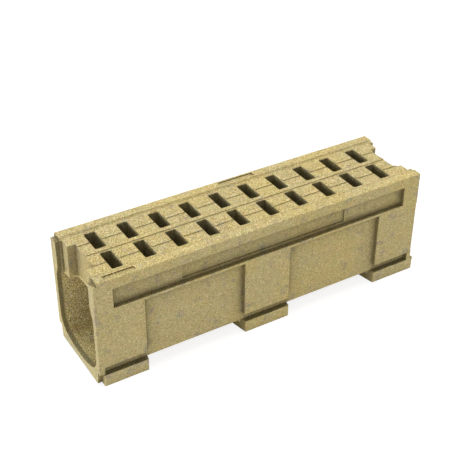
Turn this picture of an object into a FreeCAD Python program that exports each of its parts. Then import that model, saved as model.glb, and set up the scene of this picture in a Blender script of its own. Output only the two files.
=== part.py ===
import FreeCAD, Part
import math
import os

# Slot channel for line drainage, cast in one piece from polymer concrete.
# Millimetres, +Z up, +X along the run, origin under the middle of the casting.

# Laying module and outer envelope
laying_length = 1000.0      # pitch of the channels when laid end to end
joint_gap = 4.6             # free gap left between two laid channels
body_width = 253.0          # over the deck band, the pillars and the feet
body_height = 325.0         # underside of the feet to the walking surface

# Socket end (low X) and spigot end (high X)
socket_depth = 10.4         # how far the socket frame stands out past the deck
socket_drop = 10.6          # top of the socket frame below the walking surface
socket_lift = 1.8           # underside of the socket frame above the ground
socket_mouth = 194.0        # clear width between the upper cheeks of the socket
cheek_drop = 21.0           # the cheeks start this far below the deck band
cheek_height = 31.0         # height over which the socket narrows to its mouth
spigot_projection = 9.3     # how far the spigot and the last foot stand out
socket_clearance = 1.5      # play between spigot and socket, all the way round

# Water way
bore_width = 207.0
bore_floor = 27.5           # lowest point of the rounded floor
floor_radius = 233.5
floor_corner_radius = 48.5
bore_apex = 225.0           # highest point of the arched ceiling
ceiling_radius = 600.0
ceiling_corner_radius = 8.0
socket_shoulder = 6.5       # ring of bore wall seen inside the socket

# Side walls between the pillars
wall_inset = 12.0           # panels stand back from the outer envelope
panel_foot = 38.0           # lower edge of the panels
hull_slope_width = 32.0     # slanting strip from the panels to the underside
hull_underside = 13.0       # underside of the water way between the feet
hull_lower_radius = 6.0
panel_foot_radius = 4.0

# Deck
deck_band_height = 97.0     # full-width band below the walking surface
deck_edge_radius = 3.0
tread_half_width = 94.5     # sunk walking field between the two flat margins
tread_depth = 4.0
tread_slope = 5.0           # slanting bank from the margins into the field
rib_width = 13.0
rib_height = 2.0
rib_slope = 1.0

# Inlet slots: two rows, mirrored about the middle plane
slots_per_row = 10
first_slot = 62.0           # deck end at the socket to the first slot
slot_width = 30.3           # along the run
slot_length = 73.0          # across the run
slot_row_offset = 47.5      # middle plane to the centre line of a row
slot_corner_radius = 4.0
slot_lip = 1.5              # chamfer round the upper edge of every slot
shaft_reach = 30.0          # the slot and end cutters reach this far into the water way

# Stepped recesses in the two ends of the deck
socket_outer_half = 88.2    # half width of the shallow step at the socket end
spigot_outer_half = 85.5    # the same at the spigot end
end_mouth_half = 57.8       # half width of the deep step at its mouth
end_back_half = 51.5        # half width of the deep step at its back
socket_outer_step = 5.0
socket_inner_step = 26.7
spigot_outer_step = 11.5
spigot_inner_step = 34.5

# Pillars and feet, measured from the deck's socket end
end_pillar_length = 124.7   # first pillar, from the deck's socket end
middle_pillar = (415.6, 557.3)
last_pillar_start = 852.4
first_foot = (1.8, 127.0)
middle_foot = (419.5, 558.4)
last_foot_start = 851.0
foot_height = 35.0
foot_taper = 9.5            # the free ends of the feet widen inwards by this much
foot_taper_reach = 48.0     # over this distance from their outer faces
pillar_base = 61.5          # underside of the pillars, over the lifting groove
socket_web = 3.9            # closes the first groove at the socket end
spigot_web = 13.5           # closes the last groove at the spigot end
nose_height = 38.6          # stop at the end of the last foot
notch_top = 41.0            # clearance notch for the neighbour's stop
notch_setback = 0.5         # the notch wall stands back from the panels
notch_lean = 5.8            # the notch wall leans in towards the ground
edge_radius = 2.5           # rounded vertical edges of pillars and feet

# Name fields, all left plain
name_field = (40.0, 934.0)  # along the deck band, from the deck's socket end
name_field_base = 236.5
name_field_top = 295.0
name_plate = (237.0, 737.0)
name_plate_base = 245.0
name_plate_depth = 3.0
mark_near = (22.4, 86.3, 14.5)      # start, length, width on the low-Y margin
mark_far = (478.0, 108.0, 15.0)     # the same on the high-Y margin
mark_inset = 7.2            # outer envelope to a mark
mark_depth = 3.0

# Everything below follows from the values above.
half_width = body_width / 2
half_bore = bore_width / 2
half_wall = half_width - wall_inset
deck_length = laying_length - joint_gap - socket_depth
slot_pitch = laying_length / (slots_per_row + 1)
total_length = socket_depth + deck_length + spigot_projection
deck_start = socket_depth - total_length / 2
deck_end = deck_start + deck_length
band_base = body_height - deck_band_height
pillars = [(-socket_depth, end_pillar_length), middle_pillar, (last_pillar_start, deck_length)]
feet = [first_foot, middle_foot, (last_foot_start, deck_length + spigot_projection)]
cheek_base = band_base - cheek_drop
shaft_base = bore_apex - shaft_reach
over = 5.0                  # cutters run this far past the faces they cut


def point(x, y, z):
    """A point in space."""
    return FreeCAD.Vector(x, y, z)


def block(x0, x1, y0, y1, z0, z1):
    """Rectangular block between two opposite corners."""
    return Part.makeBox(x1 - x0, y1 - y0, z1 - z0, point(x0, y0, z0))


def with_mirror(shape):
    """The shape and its mirror image on the other side of the middle plane."""
    twin = shape.mirror(point(0, 0, 0), point(0, 1, 0))
    return [shape, twin]


def rounded_outline(corners, place):
    """Closed wire through corners (u, v, radius); place maps (u, v) to a point."""
    count = len(corners)
    stops = []
    for index in range(count):
        u, v, radius = corners[index]
        here = FreeCAD.Vector(u, v, 0)
        back = FreeCAD.Vector(corners[index - 1][0], corners[index - 1][1], 0) - here
        following = corners[(index + 1) % count]
        ahead = FreeCAD.Vector(following[0], following[1], 0) - here
        back.normalize()
        ahead.normalize()
        if radius <= 0:
            stops.append([here])
            continue
        half_angle = back.getAngle(ahead) / 2
        reach = radius / math.tan(half_angle)
        middle = back + ahead
        middle.normalize()
        centre = here + middle * (radius / math.sin(half_angle))
        stops.append([here + back * reach, centre - middle * radius, here + ahead * reach])
    edges = []
    for index in range(count):
        stop = [place(spot.x, spot.y) for spot in stops[index]]
        following = stops[(index + 1) % count][0]
        if len(stop) == 3:
            edges.append(Part.Arc(stop[0], stop[1], stop[2]).toShape())
        edges.append(Part.LineSegment(stop[-1], place(following.x, following.y)).toShape())
    return Part.Wire(edges)


def along_run(corners, x0, x1):
    """Solid with a rounded cross-section (y, z, radius), from x0 to x1."""
    wire = rounded_outline(corners, lambda u, v: point(x0, u, v))
    return Part.Face(wire).extrude(point(x1 - x0, 0, 0))


def symmetric(corners):
    """A right-hand list of corners (y, z, radius) closed by its mirror image."""
    return corners + [(-y, z, radius) for y, z, radius in reversed(corners)]


def arch_join(half, apex, apex_radius, corner_radius, sense):
    """Where an arch through the apex meets its corner arc, and that arc's end.

    The corner arc touches the arch inside and the upright side at y = half.
    sense is +1 for a floor, which curves up from its apex, and -1 for a ceiling.
    Returns the meeting point, the arc's middle and its end on the side.
    """
    across = half - corner_radius
    reach = apex_radius - corner_radius
    rise = apex_radius - math.sqrt(reach * reach - across * across)
    centre_z = apex + sense * rise
    angle = math.asin(across / reach)
    meet = (apex_radius * math.sin(angle), apex + sense * apex_radius * (1 - math.cos(angle)))
    turn = (math.pi / 2 + angle) / 2
    middle = (across + corner_radius * math.sin(turn), centre_z - sense * corner_radius * math.cos(turn))
    return meet, middle, (half, centre_z)


def arch_edges(x, half, apex, apex_radius, corner_radius, sense):
    """The three arcs of a floor or ceiling, from the -Y side to the +Y side."""
    meet, middle, side = arch_join(half, apex, apex_radius, corner_radius, sense)
    right = Part.Arc(point(x, *meet), point(x, *middle), point(x, *side))
    crown = Part.Arc(point(x, -meet[0], meet[1]), point(x, 0, apex), point(x, *meet))
    left = right.toShape().mirror(point(0, 0, 0), point(0, 1, 0))
    return [left, crown.toShape(), right.toShape()], side[1]


def bore(x0, x1):
    """The water way: rounded floor, upright sides and arched ceiling."""
    floor, low = arch_edges(x0, half_bore, bore_floor, floor_radius, floor_corner_radius, 1)
    ceiling, high = arch_edges(x0, half_bore, bore_apex, ceiling_radius, ceiling_corner_radius, -1)
    sides = []
    for y in (-half_bore, half_bore):
        sides.append(Part.LineSegment(point(x0, y, low), point(x0, y, high)).toShape())
    wire = Part.Wire(Part.__sortEdges__(floor + ceiling + sides))
    return Part.Face(wire).extrude(point(x1 - x0, 0, 0))


def trough(x0, x1, offset, shape_top):
    """U-shaped solid, offset outwards from the bore; shape_top ends the right side."""
    half = half_bore + offset
    floor, low = arch_edges(
        x0, half, bore_floor - offset, floor_radius + offset, floor_corner_radius + offset, 1)
    rail = [(half, low)] + shape_top
    rail = rail + [(-y, z) for y, z in reversed(rail)]
    edges = list(floor)
    for (y0, z0), (y1, z1) in zip(rail[:-1], rail[1:]):
        edges.append(Part.LineSegment(point(x0, y0, z0), point(x0, y1, z1)).toShape())
    wire = Part.Wire(Part.__sortEdges__(edges))
    return Part.Face(wire).extrude(point(x1 - x0, 0, 0))


def hull():
    """Outside of the water way, up to the deck band."""
    section = symmetric([
        (half_wall - hull_slope_width, hull_underside, hull_lower_radius),
        (half_wall, panel_foot, panel_foot_radius),
        (half_wall, band_base + over, 0),
    ])
    return along_run(section, deck_start, deck_end)


def deck():
    """Full-width band that carries the walking surface."""
    section = symmetric([
        (half_width, band_base, edge_radius),
        (half_width, body_height, deck_edge_radius),
    ])
    return along_run(section, deck_start, deck_end)


def upright_block(span, depth, z0, z1):
    """Low-Y block of the given depth with rounded upright outer edges."""
    x0 = deck_start + span[0]
    x1 = deck_start + span[1]
    outer = -half_width
    corners = [
        (x0, outer, edge_radius), (x1, outer, edge_radius),
        (x1, outer + depth, 0), (x0, outer + depth, 0)]
    wire = rounded_outline(corners, lambda u, v: point(u, v, z0))
    return Part.Face(wire).extrude(point(0, 0, z1 - z0))


def pillar_set():
    """Pillars on both sides, reaching up into the deck band."""
    parts = []
    for span in pillars:
        parts += with_mirror(upright_block(span, wall_inset + over, pillar_base, band_base + over))
    return parts


def foot_set():
    """Sleeper-like feet across the full width; their free ends widen under the hull."""
    parts = []
    inner = half_width - foot_taper_reach
    for index, (start, end) in enumerate(feet):
        x0 = deck_start + start
        x1 = deck_start + end
        inner_x0 = x0 if index == 0 else x0 - foot_taper
        inner_x1 = x1 if index == len(feet) - 1 else x1 + foot_taper
        corners = [
            (x0, -half_width, edge_radius), (x1, -half_width, edge_radius),
            (inner_x1, -inner, 0), (inner_x1, inner, 0),
            (x1, half_width, edge_radius), (x0, half_width, edge_radius),
            (inner_x0, inner, 0), (inner_x0, -inner, 0)]
        wire = rounded_outline(corners, lambda u, v: point(u, v, 0))
        parts.append(Part.Face(wire).extrude(point(0, 0, foot_height)))
    return parts


def socket_frame():
    """Frame at the low-X end, notched at its lower corners."""
    notch_half = half_wall - notch_setback
    section = symmetric([
        (notch_half - notch_lean, socket_lift, 0),
        (notch_half, panel_foot, 0),
        (notch_half, notch_top, 0),
        (half_width, notch_top, 0),
        (half_width, body_height - socket_drop, edge_radius),
    ])
    return along_run(section, deck_start - socket_depth, deck_start + socket_web)


def spigot():
    """U-shaped spigot, the webs beside it and the stops on the last foot."""
    top = [(half_bore + socket_shoulder - socket_clearance, cheek_base - socket_clearance)]
    ring = trough(deck_end - over, deck_end + spigot_projection, socket_shoulder - socket_clearance, top)
    parts = [ring]
    web = block(
        deck_end - spigot_web, deck_end,
        -half_width, -half_wall + over, foot_height - over, pillar_base + over)
    nose = block(
        deck_end - spigot_web, deck_end + spigot_projection,
        -half_width, -half_wall + over, foot_height - over, nose_height)
    parts += with_mirror(web)
    parts += with_mirror(nose)
    return parts


def socket_mouth_cut():
    """Rebate inside the socket frame, narrowing upwards to the mouth."""
    half = half_bore + socket_shoulder
    top = [
        (half, cheek_base),
        (socket_mouth / 2, cheek_base + cheek_height),
        (socket_mouth / 2, body_height + over),
    ]
    return trough(deck_start - socket_depth - over, deck_start, socket_shoulder, top)


def slot_cut(x0, y):
    """One inlet slot with a chamfered lip; x0 is its socket-side edge."""
    x1 = x0 + slot_width
    y0 = y - slot_length / 2
    y1 = y + slot_length / 2
    surface = body_height - tread_depth

    def plan(grow, z):
        corners = [
            (x0 - grow, y0 - grow, slot_corner_radius + grow),
            (x1 + grow, y0 - grow, slot_corner_radius + grow),
            (x1 + grow, y1 + grow, slot_corner_radius + grow),
            (x0 - grow, y1 + grow, slot_corner_radius + grow)]
        return rounded_outline(corners, lambda u, v: point(u, v, z))

    shaft = Part.Face(plan(0, shaft_base)).extrude(point(0, 0, body_height + over - shaft_base))
    lip_top = slot_lip + rib_height
    lip = Part.makeLoft([plan(0, surface - slot_lip), plan(lip_top, surface + rib_height)], True)
    return [shaft, lip]


def slot_cuts():
    """All inlet slots of both rows."""
    cuts = []
    for index in range(slots_per_row):
        x0 = deck_start + first_slot + index * slot_pitch
        cuts += slot_cut(x0, slot_row_offset)
        cuts += slot_cut(x0, -slot_row_offset)
    return cuts


def tread_cut():
    """Sunk walking field with three low ribs standing in it."""
    surface = body_height - tread_depth
    top = body_height + over
    bank = tread_slope * (top - surface) / tread_depth
    field = along_run([
        (-tread_half_width, surface, 0), (tread_half_width, surface, 0),
        (tread_half_width + bank, top, 0), (-tread_half_width - bank, top, 0),
    ], deck_start - over, deck_end + over)
    for centre in (-slot_row_offset, 0.0, slot_row_offset):
        low = centre - rib_width / 2
        high = centre + rib_width / 2
        rib = along_run([
            (low, surface - over, 0), (high, surface - over, 0),
            (high, surface, 0), (high - rib_slope, surface + rib_height, 0),
            (low + rib_slope, surface + rib_height, 0), (low, surface, 0),
        ], deck_start - 2 * over, deck_end + 2 * over)
        field = field.cut(rib)
    return field


def end_cuts():
    """Stepped recesses in both ends of the deck; the deep step narrows towards its back."""
    cuts = []
    for edge, inward, outer_half, outer_step, inner_step in (
            (deck_start, 1, socket_outer_half, socket_outer_step, socket_inner_step),
            (deck_end, -1, spigot_outer_half, spigot_outer_step, spigot_inner_step)):
        outside = edge - inward * over
        ledge = edge + inward * outer_step
        back = edge + inward * inner_step
        right = [
            (outside, outer_half, 0), (ledge, outer_half, 0),
            (ledge, end_mouth_half, 0), (back, end_back_half, 0)]
        corners = right + [(x, -y, radius) for x, y, radius in reversed(right)]
        wire = rounded_outline(corners, lambda u, v: point(u, v, shaft_base))
        cuts.append(Part.Face(wire).extrude(point(0, 0, body_height + over - shaft_base)))
    return cuts


def name_cuts():
    """Plain name fields: long ones in the deck band, small ones on the margins."""
    cuts = []
    field = block(
        deck_start + name_field[0], deck_start + name_field[1],
        -half_width - over, -half_wall, name_field_base, name_field_top)
    plate = block(
        deck_start + name_plate[0], deck_start + name_plate[1],
        -half_width - over, -half_wall + name_plate_depth, name_plate_base, name_field_top)
    cuts += with_mirror(field)
    cuts += with_mirror(plate)
    for (start, length, width), side in ((mark_near, -1), (mark_far, 1)):
        x0 = deck_start + start
        edges = sorted((side * (half_width - mark_inset), side * (half_width - mark_inset - width)))
        cuts.append(block(
            x0, x0 + length, edges[0], edges[1], body_height - mark_depth, body_height + over))
    return cuts


def channel_body():
    """The whole casting as one solid."""
    solids = [deck(), socket_frame()] + pillar_set() + foot_set() + spigot()
    body = hull().fuse(solids)
    cuts = [bore(deck_start, deck_end + spigot_projection + over), socket_mouth_cut(), tread_cut()]
    cuts += slot_cuts() + end_cuts() + name_cuts()
    body = body.cut(cuts)
    return body.removeSplitter()


os.makedirs("parts", exist_ok=True)
casting = channel_body()
casting.exportStep("parts/channel_body.step")
box = casting.BoundBox
print("solids", len(casting.Solids), "valid", casting.isValid(), "volume", casting.Volume)
print("bounds", box.XMin, box.XMax, box.YMin, box.YMax, box.ZMin, box.ZMax)
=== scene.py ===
import math

import bpy
import numpy as np
from mathutils import Matrix, Vector


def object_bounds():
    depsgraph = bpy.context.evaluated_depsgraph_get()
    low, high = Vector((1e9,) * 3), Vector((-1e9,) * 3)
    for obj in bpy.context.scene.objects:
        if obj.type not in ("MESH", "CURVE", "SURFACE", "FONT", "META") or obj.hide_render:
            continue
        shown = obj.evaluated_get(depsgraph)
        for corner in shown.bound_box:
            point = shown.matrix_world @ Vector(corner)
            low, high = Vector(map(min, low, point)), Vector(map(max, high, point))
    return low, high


bl_info = {
    "name": "Slot channel finish",
    "version": (1, 0, 0),
    "blender": (4, 5, 0),
    "location": "3D View > Sidebar > Slot channel",
    "description": "Polymer-concrete finish and studio for a one-piece slot drainage channel",
    "category": "Object",
}

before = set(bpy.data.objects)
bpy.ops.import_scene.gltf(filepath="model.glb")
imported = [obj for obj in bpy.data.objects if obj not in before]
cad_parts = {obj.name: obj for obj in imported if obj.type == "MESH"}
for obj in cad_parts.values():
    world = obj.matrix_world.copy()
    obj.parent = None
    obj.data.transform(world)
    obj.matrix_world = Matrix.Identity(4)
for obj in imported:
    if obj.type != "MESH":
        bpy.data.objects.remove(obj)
CAD_BOUNDS = [[float(value) for value in corner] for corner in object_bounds()]

# Space taken up by the water way, in metres
BORE_HALF = 0.106
BORE_LOW = 0.020
BORE_HIGH = 0.229
BORE_REACH = 0.4905

# Space taken up by the slots above it
SHAFT_HALF = 0.086
SHAFT_REACH = 0.440
SHAFT_HIGH = 0.3205

# Space taken up by the rebate inside the socket
REBATE_HALF = 0.1104
REBATE_FRONT = -0.5021
REBATE_BACK = -0.4911

# Distance from the middle past which only the end faces of the rims lie
RIM_REACH = 0.5022

# Height up to which the feet stand free of the hull
FOOT_TOP = 0.036

# Painted shade in sheltered corners, from ambient occlusion: how early it sets in as a corner closes up,
# how far it thins out in the deepest corners, how much less of it the water way gets, and how much
# painted shade always lies on the socket's rebate
PAINTED_SHADE_ONSET = 3.5
PAINTED_SHADE_FADE = 0.42
PAINTED_SHADE_LESS_IN_WATER_WAY = 0.8
PAINTED_SHADE_IN_REBATE = 0.76

# Cycles per metre of clouds, stains, drift of hue, pits and sand
CLOUD_SCALE = 9.0
STAIN_SCALE = 36.0
DRIFT_SCALE = 60.0
PIT_SCALE = 330.0
SAND_SCALE = 700.0

# How far clouds, stains, stones and pits cover the binder, and how much less stains and stones
# do where traffic or water has worn it
CLOUD_COVER = 0.7
STAIN_COVER = 0.75
STAIN_WORN_OFF = 0.20
STONE_COVER = 0.50
STONE_WORN_OFF = 0.14
PIT_COVER = 0.55

# Swing of the fine grains between light and dark, and between yellow and blue: everywhere,
# then what is added on worn faces and in the water way
LIGHT_SWING = (0.56, 0.56, 0.32)
HUE_SWING = (0.0, 0.08, 0.55)

# Shares of both swings that red, green and blue take
LIGHT_SHARES = (1.0, 1.22, 1.85)
HUE_SHARES = (0.15, 0.0, -1.0)

# Parts that grains, fine grains, sand and pits have in the relief, and its depth in metres
RELIEF_SHARES = (0.5, 0.25, 0.35, 0.8)
RELIEF_DEPTH = 0.0006

# Roughness of the binder, and how much smoother the shiniest stones are
BINDER_ROUGHNESS = 0.96
STONE_POLISH = 0.45

# Shift of the whole pattern against the part, in metres
PATTERN_SHIFT = (0.31, 0.17, 0.05)

WHITE = (1.0, 1.0, 1.0, 1.0)

# Linear factors on red, green and blue, with alpha
GREENER = (0.975, 1.012, 0.99, 1.0)
ROSIER = (1.022, 0.991, 1.018, 1.0)
# From here on, painted light and shade by part: lighter feet, lighter water-way walls, darker water-way
# floor, paler and bluer end rims and slots
FOOT_PAINTED_LIGHT = (1.07, 1.10, 1.15, 1.0)
WATER_WAY_WALL_PAINTED_LIGHT = (1.10, 1.12, 1.17, 1.0)
WATER_WAY_FLOOR_PAINTED_SHADE = (0.92, 0.91, 0.83, 1.0)
RIM_PAINTED_LIGHT = (1.0, 1.03, 1.12, 1.0)
SHAFT_PAINTED_LIGHT = (1.0, 1.03, 1.09, 1.0)

# Screen colours of the large sand grains, from dark flint to pale quartz
STONES = (
    (0.0, (84, 78, 68)), (0.20, (144, 131, 106)), (0.42, (184, 160, 98)),
    (0.66, (208, 188, 134)), (0.85, (232, 215, 158)), (1.0, (252, 245, 216)))
PIT_COLOUR = (120, 110, 90)

# Where the camera stands, in metres, and how it is turned, in degrees: heading, tilt from
# straight down and roll
CAMERA_PLACE = (-1.21676, -1.90805, 1.77409)
CAMERA_HEADING = -31.179
CAMERA_TILT = 56.042
CAMERA_ROLL = 0.222

# Half the side of the floor, in metres
FLOOR_HALF = 12.0

# Shade of the floor under the lamps, and its paint and glow as the camera sees it
FLOOR_PAINT = (0.88, 0.88, 0.88, 1.0)
FLOOR_SEEN = (0.29, 0.29, 0.29, 1.0)
FLOOR_GLOW = 0.84

# Each lamp: where its light comes from, its spread in degrees and its colour
KEY_LIGHT = ((0.10, 0.05, 0.99), 24.0, (1.0, 1.0, 1.0))
SIDE_LIGHT = ((-0.94, 0.20, 0.25), 20.0, (0.985, 1.01, 1.09))
FRONT_LIGHT = ((-0.30, -0.94, 0.12), 30.0, (1.0, 1.0, 1.0))


class Wire:
    """A shader socket that Python's operators turn into Math nodes."""

    def __init__(self, sheet, socket):
        self.sheet = sheet
        self.socket = socket

    def __add__(self, other):
        return self.sheet.maths("ADD", self, other)

    __radd__ = __add__

    def __sub__(self, other):
        return self.sheet.maths("SUBTRACT", self, other)

    def __rsub__(self, other):
        return self.sheet.maths("SUBTRACT", other, self)

    def __mul__(self, other):
        return self.sheet.maths("MULTIPLY", self, other)

    __rmul__ = __mul__

    def __pow__(self, other):
        return self.sheet.maths("POWER", self, other)

    def __gt__(self, other):
        return self.sheet.maths("GREATER_THAN", self, other)

    def __lt__(self, other):
        return self.sheet.maths("LESS_THAN", self, other)


class ShaderSheet:
    """The node tree of one material or world, with one method that adds nodes."""

    def __init__(self, owner):
        owner.use_nodes = True
        self.tree = owner.node_tree
        self.tree.nodes.clear()

    def node(self, kind, settings=None, out=0, **inputs):
        """Add a node, set its settings first, then its sockets; return one output."""
        made = self.tree.nodes.new(kind)
        for name, value in (settings or {}).items():
            if name == "stops":
                self.set_stops(made.color_ramp, value)
            else:
                setattr(made, name, value)
        for name, value in inputs.items():
            key = int(name[1:]) if name[0] == "i" and name[1:].isdigit() else name.replace("_", " ")
            socket = made.inputs[key]
            if isinstance(value, Wire):
                self.tree.links.new(value.socket, socket)
            else:
                socket.default_value = value
        return Wire(self, made.outputs[out])

    def set_stops(self, ramp, stops):
        """Give a colour ramp its (position, colour) stops."""
        while len(ramp.elements) < len(stops):
            ramp.elements.new(1.0)
        for element, (position, colour) in zip(ramp.elements, stops):
            element.position = position
            element.color = (*colour, 1.0)

    def finish(self, kind, surface):
        """Join the surface to the tree's output."""
        output = self.tree.nodes.new(kind)
        self.tree.links.new(surface.socket, output.inputs["Surface"])

    def coordinate(self, name):
        """One output of Texture Coordinate."""
        return Wire(self, self.tree.nodes.new("ShaderNodeTexCoord").outputs[name])

    def direct_rays(self):
        """1 for rays that come straight from the camera, off gloss or through glass."""
        path = self.tree.nodes.new("ShaderNodeLightPath")
        seen, mirrored, through = (
            Wire(self, path.outputs[name])
            for name in ("Is Camera Ray", "Is Glossy Ray", "Is Transmission Ray"))
        return self.maths("MAXIMUM", seen, self.maths("MAXIMUM", mirrored, through))

    def maths(self, operation, first, second):
        """One Math node."""
        return self.node("ShaderNodeMath", {"operation": operation}, i0=first, i1=second)

    def smooth_step(self, value, low, high):
        """0 below low, 1 above high, smooth in between."""
        return self.node(
            "ShaderNodeMapRange", {"interpolation_type": "SMOOTHSTEP"},
            i0=value, i1=low, i2=high, i3=0.0, i4=1.0)

    def tint(self, blend, factor, first, second):
        """Mix two colours."""
        made = self.tree.nodes.new("ShaderNodeMix")
        made.data_type = "RGBA"
        made.blend_type = blend
        made.clamp_factor = True
        for index, value in ((0, factor), (6, first), (7, second)):
            socket = made.inputs[index]
            if isinstance(value, Wire):
                self.tree.links.new(value.socket, socket)
            else:
                socket.default_value = value
        return Wire(self, made.outputs[2])

    def noise(self, place, scale, detail, roughness):
        """Noise value at a scale in cycles per metre."""
        return self.node(
            "ShaderNodeTexNoise", None, Vector=place, Scale=scale, Detail=detail, Roughness=roughness)

    def grains(self, place, spacing):
        """Distance to and random colour of the nearest of grains scattered at this spacing in metres."""
        made = self.tree.nodes.new("ShaderNodeTexVoronoi")
        self.tree.links.new(place.socket, made.inputs["Vector"])
        made.inputs["Scale"].default_value = 1.0 / spacing
        return Wire(self, made.outputs["Distance"]), Wire(self, made.outputs["Color"])

    def channels(self, colour, *picked):
        """The picked ones of a colour's red, green and blue, numbered from 0."""
        return [self.node("ShaderNodeSeparateColor", None, out=one, Color=colour) for one in picked]


def linear(red, green, blue):
    """Screen colour in 0..255 as linear values with alpha."""
    values = []
    for level in (red, green, blue):
        share = level / 255.0
        values.append(share / 12.92 if share <= 0.04045 else ((share + 0.055) / 1.055) ** 2.4)
    return (*values, 1.0)


def upward_faces(sheet):
    """1 on upward faces, where traffic has worn the resin skin off the sand."""
    facing = sheet.node("ShaderNodeSeparateXYZ", None, out=2, Vector=sheet.coordinate("Normal"))
    return sheet.smooth_step(facing, 0.5, 0.9)


def part_masks(sheet):
    """Masks for the water way, the slots above it, the socket's rebate, the end rims and the feet."""
    place = sheet.coordinate("Object")
    along, sideways, height = (
        sheet.node("ShaderNodeSeparateXYZ", None, out=axis, Vector=place) for axis in range(3))
    reach = sheet.maths("ABSOLUTE", along, 0.0)
    across = sheet.maths("ABSOLUTE", sideways, 0.0)
    water_way = (across < BORE_HALF) * (height > BORE_LOW) * (height < BORE_HIGH) * (reach < BORE_REACH)
    shafts = (across < SHAFT_HALF) * (reach < SHAFT_REACH) * (height > BORE_HIGH) * (height < SHAFT_HIGH)
    rebate = (across < REBATE_HALF) * (along > REBATE_FRONT) * (along < REBATE_BACK)
    return water_way, shafts, rebate, reach > RIM_REACH, height < FOOT_TOP


def blotches(sheet, place, settings, worn):
    """Binder with warm clouds, grey stains, which traffic thins out, and a slow drift of hue."""
    binder = (*settings.binder_colour, 1.0)
    warm = (*settings.warm_colour, 1.0)
    cool = (*settings.cool_colour, 1.0)
    clouds = sheet.smooth_step(sheet.noise(place, CLOUD_SCALE, 3.0, 0.55), 0.42, 0.62)
    colour = sheet.tint("MIX", clouds * CLOUD_COVER, binder, warm)
    stains = sheet.smooth_step(sheet.noise(place, STAIN_SCALE, 3.0, 0.6), 0.53, 0.70)
    colour = sheet.tint("MIX", stains * (STAIN_COVER - worn * STAIN_WORN_OFF), colour, cool)
    drift = sheet.smooth_step(sheet.noise(place, DRIFT_SCALE, 1.0, 0.5), 0.36, 0.64)
    return sheet.tint("MULTIPLY", 1.0, colour, sheet.tint("MIX", drift, GREENER, ROSIER))


def grain_swing(grain, amounts, worn, water_way):
    """How far a grain's random value lies from the middle, times the swing of the face it is on."""
    everywhere, more_if_worn, more_in_water = amounts
    return (grain - 0.5) * (everywhere + worn * more_if_worn + water_way * more_in_water)


def painted_shade_amount(sheet, settings, water_way, rebate):
    """1 where painted shade darkens sheltered corners, less in the water way, always some on the rebate.
    """
    shelter = sheet.node(
        "ShaderNodeAmbientOcclusion", {"samples": 12, "only_local": True}, out=1,
        Distance=settings.painted_shade_reach)
    painted_shade = (1.0 - shelter ** PAINTED_SHADE_ONSET) * (1.0 - (1.0 - shelter) * PAINTED_SHADE_FADE)
    painted_shade = painted_shade * (1.0 - water_way * PAINTED_SHADE_LESS_IN_WATER_WAY)
    return sheet.maths("MAXIMUM", painted_shade, rebate * PAINTED_SHADE_IN_REBATE) * settings.painted_shade


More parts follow.
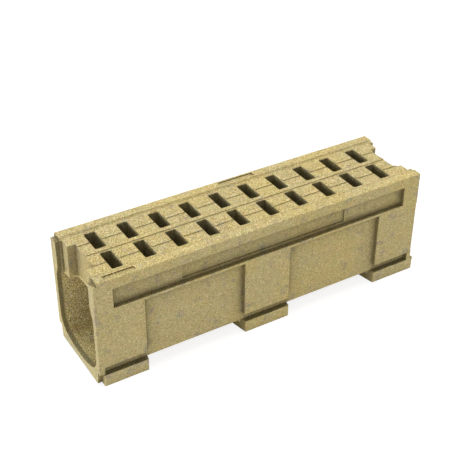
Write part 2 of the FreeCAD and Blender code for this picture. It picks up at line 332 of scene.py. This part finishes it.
def polymer_concrete(settings):
    """Sand-filled resin concrete: blotchy beige binder, coloured grains, fine pits, painted shade in
    corners and painted light and shade by part.
    """
    material = bpy.data.materials.new("polymer_concrete")
    sheet = ShaderSheet(material)
    place = sheet.node(
        "ShaderNodeMapping", None, Vector=sheet.coordinate("Object"), Location=PATTERN_SHIFT)
    water_way, shafts, rebate, rims, feet = part_masks(sheet)
    upward = upward_faces(sheet)
    worn = sheet.maths("MAXIMUM", upward, sheet.maths("MAXIMUM", water_way, shafts))

    colour = blotches(sheet, place, settings, worn)
    # Painted light and shade by part: feet and water-way walls lighter, water-way floor darker, end rims
    # and slots paler and bluer
    water_way_light_and_shade = sheet.tint("MIX", sheet.smooth_step(upward, 0.55, 1.0), WATER_WAY_WALL_PAINTED_LIGHT, WATER_WAY_FLOOR_PAINTED_SHADE)
    for mask, shade in ((feet, FOOT_PAINTED_LIGHT), (water_way, water_way_light_and_shade), (rims, RIM_PAINTED_LIGHT), (shafts, SHAFT_PAINTED_LIGHT)):
        colour = sheet.tint("MULTIPLY", mask, colour, shade)

    # Large grains: each cell has a stone colour of its own and fades into the binder at its edge
    near, hue = sheet.grains(place, settings.coarse_grain)
    pick, gloss = sheet.channels(hue, 0, 1)
    stone = sheet.node(
        "ShaderNodeValToRGB", {"stops": [(stop, linear(*shade)[:3]) for stop, shade in STONES]}, Fac=pick)
    body = 1.0 - sheet.smooth_step(near, 0.30, 0.62)
    cover = body * (STONE_COVER - worn * STONE_WORN_OFF) * settings.grain_strength
    colour = sheet.tint("MIX", cover, colour, stone)

    # Fine grains: lighter or darker than what they lie on, and in the water way yellower or bluer
    _, hue_fine = sheet.grains(place, settings.fine_grain)
    pick_fine, pick_tone = sheet.channels(hue_fine, 0, 2)
    lighter = grain_swing(pick_fine, LIGHT_SWING, worn, water_way)
    yellower = grain_swing(pick_tone, HUE_SWING, worn, water_way)
    red, green, blue = (
        1.0 + lighter * light_share + yellower * hue_share
        for light_share, hue_share in zip(LIGHT_SHARES, HUE_SHARES))
    shade = sheet.node("ShaderNodeCombineColor", None, Red=red, Green=green, Blue=blue)
    colour = sheet.tint("MULTIPLY", 1.0, colour, shade)

    pits = sheet.smooth_step(sheet.noise(place, PIT_SCALE, 2.0, 0.5), 0.66, 0.74)
    colour = sheet.tint("MULTIPLY", pits * PIT_COVER, colour, linear(*PIT_COLOUR))
    # Painted shade: sheltered corners darkened by ambient occlusion
    painted_shade = painted_shade_amount(sheet, settings, water_way, rebate)
    colour = sheet.tint("MULTIPLY", painted_shade, colour, (*settings.painted_shade_colour, 1.0))

    sand = sheet.noise(place, SAND_SCALE, 2.0, 0.6)
    by_grain, by_fine, by_sand, by_pit = RELIEF_SHARES
    height = (1.0 - near) * by_grain + pick_fine * by_fine + sand * by_sand - pits * by_pit
    normal = sheet.node(
        "ShaderNodeBump", None, Strength=settings.relief, Distance=RELIEF_DEPTH, Height=height)
    rough = BINDER_ROUGHNESS - sheet.smooth_step(gloss, 0.88, 0.96) * body * STONE_POLISH
    surface = sheet.node(
        "ShaderNodeBsdfPrincipled", None, Base_Color=colour, Roughness=rough, Normal=normal,
        Specular_IOR_Level=0.25)
    sheet.finish("ShaderNodeOutputMaterial", surface)
    return material


def studio_floor():
    """White floor that keeps the shadow and shows white to the camera."""
    material = bpy.data.materials.new("studio_floor")
    sheet = ShaderSheet(material)
    direct = sheet.direct_rays()
    shade = sheet.tint("MIX", direct, FLOOR_PAINT, FLOOR_SEEN)
    paint = sheet.node("ShaderNodeBsdfDiffuse", None, Color=shade)
    glow = sheet.node("ShaderNodeEmission", None, Color=WHITE, Strength=direct * FLOOR_GLOW)
    surface = sheet.node("ShaderNodeAddShader", None, i0=paint, i1=glow)
    sheet.finish("ShaderNodeOutputMaterial", surface)
    return material


def studio_sky(level):
    """Even light from all sides that shows white to the camera."""
    world = bpy.data.worlds.new("studio_sky")
    sheet = ShaderSheet(world)
    strength = sheet.direct_rays() * (1.0 - level) + level
    light = sheet.node("ShaderNodeBackground", None, Color=WHITE, Strength=strength)
    sheet.finish("ShaderNodeOutputWorld", light)
    return world


class ChannelFinish(bpy.types.PropertyGroup):
    """Colours and grain sizes of the polymer concrete."""

    binder_colour: bpy.props.FloatVectorProperty(
        name="Binder", description="Main colour of the cast surface", subtype="COLOR", size=3,
        min=0.0, max=1.0, default=linear(196, 179, 126)[:3])
    warm_colour: bpy.props.FloatVectorProperty(
        name="Warm patches", description="Yellower areas of the surface", subtype="COLOR", size=3,
        min=0.0, max=1.0, default=linear(203, 182, 118)[:3])
    cool_colour: bpy.props.FloatVectorProperty(
        name="Grey patches", description="Greyer spots of the surface", subtype="COLOR", size=3,
        min=0.0, max=1.0, default=linear(163, 152, 129)[:3])
    coarse_grain: bpy.props.FloatProperty(
        name="Coarse grain", description="Spacing of the large sand grains",
        default=0.0034, min=0.0005, max=0.02, precision=5, unit="LENGTH")
    fine_grain: bpy.props.FloatProperty(
        name="Fine grain", description="Spacing of the fine sand grains",
        default=0.0014, min=0.0003, max=0.01, precision=5, unit="LENGTH")
    grain_strength: bpy.props.FloatProperty(
        name="Grain strength", description="How far the large grains colour the surface",
        default=0.68, min=0.0, max=1.0, subtype="FACTOR")
    # Painted shade in sheltered corners: its strength, reach and colour
    painted_shade: bpy.props.FloatProperty(
        name="Grime", description="How dark the dust and damp in sheltered corners is",
        default=1.0, min=0.0, max=1.0, subtype="FACTOR")
    painted_shade_reach: bpy.props.FloatProperty(
        name="Grime reach", description="How far from a corner the grime spreads",
        default=0.06, min=0.001, max=0.2, unit="LENGTH")
    painted_shade_colour: bpy.props.FloatVectorProperty(
        name="Grime colour", description="Stain that sheltered corners take on", subtype="COLOR", size=3,
        min=0.0, max=1.0, default=(0.255, 0.258, 0.25))
    relief: bpy.props.FloatProperty(
        name="Relief", description="Strength of the sandy relief",
        default=0.6, min=0.0, max=1.0, subtype="FACTOR")


class StudioSettings(bpy.types.PropertyGroup):
    """Camera place and light levels."""

    lens: bpy.props.FloatProperty(
        name="Lens", description="Focal length of the camera in millimetres",
        default=81.14, min=20.0, max=300.0, unit="CAMERA")
    sky: bpy.props.FloatProperty(
        name="Sky", description="Strength of the even light from all sides",
        default=0.28, min=0.0, max=3.0)
    key: bpy.props.FloatProperty(
        name="Key light", description="Strength of the high light",
        default=2.4, min=0.0, max=20.0)
    side: bpy.props.FloatProperty(
        name="Side light", description="Strength of the low light on the socket end",
        default=1.2, min=0.0, max=20.0)
    front: bpy.props.FloatProperty(
        name="Front light", description="Strength of the low light on the long side",
        default=0.46, min=0.0, max=20.0)


class OBJECT_OT_dress_channel_body(bpy.types.Operator):
    """Give the casting its polymer-concrete finish"""

    bl_idname = "object.dress_channel_body"
    bl_label = "Channel body"

    def execute(self, context):
        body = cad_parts.get("channel_body")
        if body is None:
            raise RuntimeError("the frame has no node channel_body")
        material = polymer_concrete(context.scene.channel_finish)
        body.data.materials.clear()
        body.data.materials.append(material)
        return {"FINISHED"}


def add_sun(name, strength, toward, spread, colour):
    """Sun lamp that shines from the side given by toward, spread over an angle in degrees."""
    lamp = bpy.data.lights.new(name, "SUN")
    lamp.energy = strength
    lamp.color = colour
    lamp.angle = math.radians(spread)
    holder = bpy.data.objects.new(name, lamp)
    holder.rotation_euler = Vector(toward).to_track_quat("Z", "Y").to_euler()
    bpy.context.scene.collection.objects.link(holder)


class OBJECT_OT_channel_studio(bpy.types.Operator):
    """Set up the pale floor, the soft light and the camera"""

    bl_idname = "object.channel_studio"
    bl_label = "Studio"

    def execute(self, context):
        scene = context.scene
        settings = scene.channel_studio
        mesh = bpy.data.meshes.new("studio_floor")
        corners = np.array([(-1, -1, 0), (1, -1, 0), (1, 1, 0), (-1, 1, 0)]) * FLOOR_HALF
        corners[:, 2] = CAD_BOUNDS[0][2]
        mesh.from_pydata(corners.tolist(), [], [(0, 1, 2, 3)])
        mesh.materials.append(studio_floor())
        ground = bpy.data.objects.new("studio_floor", mesh)
        scene.collection.objects.link(ground)

        scene.world = studio_sky(settings.sky)
        add_sun("key_light", settings.key, *KEY_LIGHT)
        add_sun("side_light", settings.side, *SIDE_LIGHT)
        add_sun("front_light", settings.front, *FRONT_LIGHT)

        lens = bpy.data.cameras.new("studio_camera")
        lens.lens = settings.lens
        lens.sensor_width = 36.0
        lens.clip_start = 0.05
        lens.clip_end = 100.0
        holder = bpy.data.objects.new("studio_camera", lens)
        holder.matrix_world = (
            Matrix.Translation(CAMERA_PLACE)
            @ Matrix.Rotation(math.radians(CAMERA_HEADING), 4, "Z")
            @ Matrix.Rotation(math.radians(CAMERA_TILT), 4, "X")
            @ Matrix.Rotation(math.radians(CAMERA_ROLL), 4, "Z"))
        scene.collection.objects.link(holder)
        scene.camera = holder
        scene.view_settings.view_transform = "Standard"
        return {"FINISHED"}


class VIEW3D_PT_slot_channel(bpy.types.Panel):
    """Sidebar panel of the slot channel"""

    bl_label = "Slot channel"
    bl_idname = "VIEW3D_PT_slot_channel"
    bl_space_type = "VIEW_3D"
    bl_region_type = "UI"
    bl_category = "Slot channel"

    def draw(self, context):
        layout = self.layout
        finish = context.scene.channel_finish
        for name in ("binder_colour", "warm_colour", "cool_colour", "coarse_grain", "fine_grain",
                     "grain_strength", "painted_shade", "painted_shade_reach", "painted_shade_colour", "relief"):
            layout.prop(finish, name)
        layout.operator(OBJECT_OT_dress_channel_body.bl_idname)
        studio = context.scene.channel_studio
        for name in ("lens", "sky", "key", "side", "front"):
            layout.prop(studio, name)
        layout.operator(OBJECT_OT_channel_studio.bl_idname)


CLASSES = (
    ChannelFinish, StudioSettings, OBJECT_OT_dress_channel_body, OBJECT_OT_channel_studio,
    VIEW3D_PT_slot_channel)


def register():
    for entry in CLASSES:
        bpy.utils.register_class(entry)
    bpy.types.Scene.channel_finish = bpy.props.PointerProperty(type=ChannelFinish)
    bpy.types.Scene.channel_studio = bpy.props.PointerProperty(type=StudioSettings)


def unregister():
    del bpy.types.Scene.channel_studio
    del bpy.types.Scene.channel_finish
    for entry in reversed(CLASSES):
        bpy.utils.unregister_class(entry)


def main():
    register()
    bpy.ops.object.dress_channel_body()
    bpy.ops.object.channel_studio()


if __name__ == "__main__":
    main()
